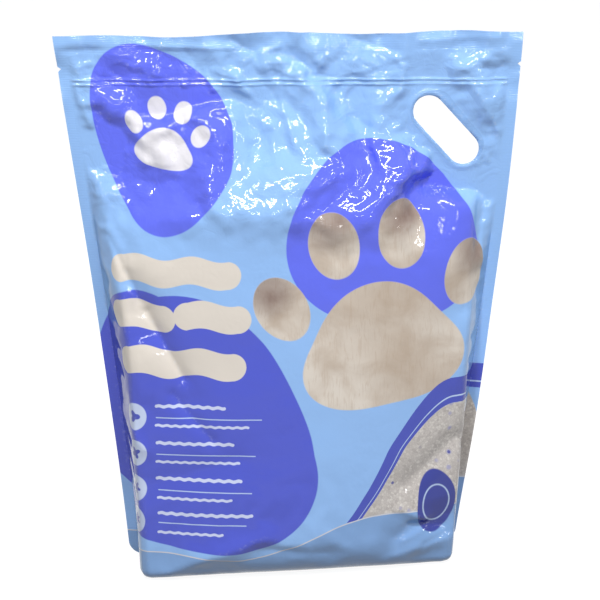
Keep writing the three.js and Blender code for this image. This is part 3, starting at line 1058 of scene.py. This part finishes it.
art.lay(pale_blue, art.field(40, 176, 84, 70, turn=8, lobes=4, depth=0.05))
for number in range(9):
    art.lay(deep_blue, art.line(-14, 214 - number * 10, 0, 108 - (number * 37) % 40, 2.4, 0.4, 8))
art.lay(tide_blue, art.shore(-110, 60, 78, 42, 4))
art.lay(pale_line, art.without(art.shore(-110, 60, 62, 32, 4), art.shore(-110, 60, 61, 31, 4)))
back_panel.data.materials.append(art.finish(fill_height + 12))

# Base: the third piece of film, folded between the panels and welded to them round the edge it stands on
front_edge = front_grid[0, 1:-1]
back_edge = back_grid[0, 1:-1]
base_rows = 31
base_rise = 0.9
base_print_drop = 90
shares = np.linspace(0, 1, base_rows)[:, None, None]
base_places = mix(front_edge[None], back_edge[None], shares)
across = base_places[..., 0]
deep = base_places[..., 1]
inward = np.sin(np.pi * np.broadcast_to(shares[..., 0], across.shape))
tuck = base_rise * np.exp(-((deep / 5) ** 2)) * ease(0, 0.25, inward)
lifted = (0.5 + 0.5 * facets(across, deep, 17, 6, 42)) * ease(0, 0.5, inward) * base_rise
base_places[..., 2] = np.maximum(0, tuck + lifted)
base_index = np.arange(base_places.shape[0] * base_places.shape[1]).reshape(base_places.shape[:2])
base_faces = np.stack(
    [base_index[:-1, :-1], base_index[1:, :-1], base_index[1:, 1:], base_index[:-1, 1:]], -1
).reshape(-1, 4)
base_film = np.stack([across, deep - base_print_drop], -1).reshape(-1, 2)
base_wear = np.stack([crease_marks(base_places), 1 - ease(0.0, 0.12, inward)], -1).reshape(-1, 2)
base_corners = base_places.reshape(-1, 3)
base_gusset = sheet_object("base_gusset", base_corners, base_faces.tolist(), base_film, base_wear)
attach(base_gusset, "root")
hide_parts("pouch")
base_print = Print("base_print", tide_blue)
base_gusset.data.materials.append(base_print.finish(fill_height))

# Floor: a plain pale sweep under the bag
floor_mesh = bpy.data.meshes.new("floor")
floor_mesh.from_pydata([(-6, -6, 0), (6, -6, 0), (6, 6, 0), (-6, 6, 0)], [], [(0, 1, 2, 3)])
floor = bpy.data.objects.new("floor", floor_mesh)
bpy.context.scene.collection.objects.link(floor)
paint = bpy.data.materials.new("floor_paint")
paint.use_nodes = True
tree = paint.node_tree
paint_shader = tree.nodes["Principled BSDF"]
mottle = noise(tree, None, 3.0, 3.0)
darker = (0.12, 0.12, 0.12, 1)
paler = (0.14, 0.14, 0.14, 1)
tint = place_node(tree, "ShaderNodeMix", {0: mottle, 6: darker, 7: paler}, data_type="RGBA")
give(tree, paint_shader.inputs["Base Color"], tint.outputs[2])
paint_shader.inputs["Roughness"].default_value = 0.9
paint_shader.inputs["Emission Color"].default_value = (1, 1, 1, 1)
give(tree, paint_shader.inputs["Emission Strength"], maths(tree, "MULTIPLY", seen_directly(tree), 0.92))
floor_mesh.materials.append(paint)

# Studio: a soft white surround, which the camera and the reflections see as plain white
world = bpy.data.worlds.new("studio")
bpy.context.scene.world = world
world.use_nodes = True
tree = world.node_tree
surround = tree.nodes["Background"]
surround.inputs["Color"].default_value = (1, 1, 1, 1)
surround.inputs["Strength"].default_value = 0.18
seen = place_node(tree, "ShaderNodeBackground", {"Color": (1, 1, 1, 1), "Strength": 1.0})
blend = tree.nodes.new("ShaderNodeMixShader")
give(tree, blend.inputs[0], seen_directly(tree))
tree.links.new(surround.outputs[0], blend.inputs[1])
tree.links.new(seen.outputs[0], blend.inputs[2])
tree.links.new(blend.outputs[0], tree.nodes["World Output"].inputs["Surface"])

# Lamps: name, place, width, depth and watts. All of them face the middle of the bag.
bag_middle = Vector((0, 0, 0.25))
lamps = (
    ("window", (-0.60, -1.45, 1.75), 0.24, 0.24, 17),
    ("tube", (0.20, -1.05, 2.05), 1.3, 0.12, 29),
    ("strip", (1.25, -1.35, 1.0), 0.07, 0.5, 3),
    ("low_tube", (0.30, -1.9, 1.05), 1.0, 0.05, 5),
    ("back", (-0.50, 1.75, 1.60), 0.8, 0.8, 27),
    ("side", (1.60, 0.70, 1.30), 0.4, 0.4, 5),
)
for name, place, width, depth, watts in lamps:
    light = bpy.data.lights.new(name, "AREA")
    light.shape = "RECTANGLE"
    light.size = width
    light.size_y = depth
    light.energy = watts
    lamp = bpy.data.objects.new(name, light)
    lamp.location = place
    lamp.rotation_euler = (bag_middle - Vector(place)).to_track_quat("-Z", "Y").to_euler()
    bpy.context.scene.collection.objects.link(lamp)

# Camera, at the photograph's angle
camera_data = bpy.data.cameras.new("camera")
camera = bpy.data.objects.new("camera", camera_data)
yaw = math.radians(4.42)
dip = math.radians(16)
roll = math.radians(-0.23)
reach = 1.45
camera_across = 0.00724
camera_height = 0.6644
sensor_width = 36
focal_pixels = 1622.33
picture_pixels = 600
look = Vector((math.sin(yaw) * math.cos(dip), math.cos(yaw) * math.cos(dip), -math.sin(dip)))
camera.location = (camera_across - math.sin(yaw) * reach, -math.cos(yaw) * reach, camera_height)
turn = look.to_track_quat("-Z", "Y")
camera.rotation_euler = turn.to_euler()
camera.rotation_euler.rotate_axis("Z", roll)
camera_data.sensor_width = sensor_width
camera_data.lens = sensor_width * focal_pixels / picture_pixels
bpy.context.scene.collection.objects.link(camera)
bpy.context.scene.camera = camera
bpy.context.scene.view_settings.view_transform = "Standard"
